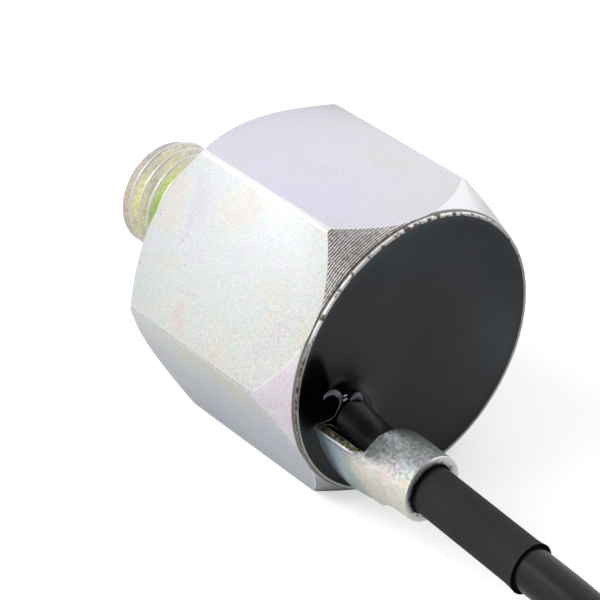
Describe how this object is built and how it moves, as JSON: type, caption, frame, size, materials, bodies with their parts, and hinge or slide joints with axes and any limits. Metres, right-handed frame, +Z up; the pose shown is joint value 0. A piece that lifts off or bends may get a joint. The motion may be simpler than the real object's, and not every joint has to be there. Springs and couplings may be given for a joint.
{
  "type": "knock sensor",
  "caption": "Screw-in knock sensor: potted hexagon body with threaded stud, steel cable clip and a short coiled lead with a sealed plug.",
  "frame": {"origin": "centre of the seat, on the sensor's axis, where the stud meets the hexagon body", "axes": "+X along the sensor's axis from the stud to the potted face, where the lead leaves; +Z up as it lies on a flat of its hexagon"},
  "size_m": [0.1366, 0.0644, 0.03],
  "materials": {
    "zinc_steel": "zinc plated, faintly iridescent",
    "casting_resin": "satin black casting resin",
    "clip_steel": "zinc plated sheet, matt and grained",
    "sleeve_black": "matt shrink sleeve",
    "jacket_black": "smooth jacket",
    "insulator": "plain",
    "contact_brass": "stamped",
    "piezo_ceramic": "fired ceramic with silvered faces",
    "plain_steel": "machined",
    "resistor_tan": "lacquered",
    "core_white": "smooth",
    "core_grey": "smooth",
    "tie_nylon": "nylon band",
    "boot_rubber": "matt moulded",
    "shell_grey": "fine moulded grain",
    "seal_rubber": "silicone",
    "lock_green": "moulded",
    "terminal_tin": "tinned"
  },
  "bodies": {
    "root": {"hex_body": "zinc_steel", "potting": "casting_resin", "cable_clip": "clip_steel", "sleeve": "sleeve_black", "cable": "jacket_black", "lower_insulator": "insulator", "ground_contact": "contact_brass", "piezo_ring": "piezo_ceramic", "signal_contact": "contact_brass", "upper_insulator": "insulator", "seismic_mass": "plain_steel", "disc_spring": "plain_steel", "clamp_nut": "plain_steel", "insulating_tube": "insulator", "shunt_resistor": "resistor_tan", "signal_wire": "core_white", "ground_wire": "core_grey", "cable_coil": "jacket_black", "cable_tail": "jacket_black", "coil_tie": "tie_nylon", "connector_boot": "boot_rubber", "connector_shell": "shell_grey", "nose_seal": "seal_rubber", "terminal_lock": "lock_green", "terminal_signal": "terminal_tin", "terminal_ground": "terminal_tin"}
  },
  "joints": []
}
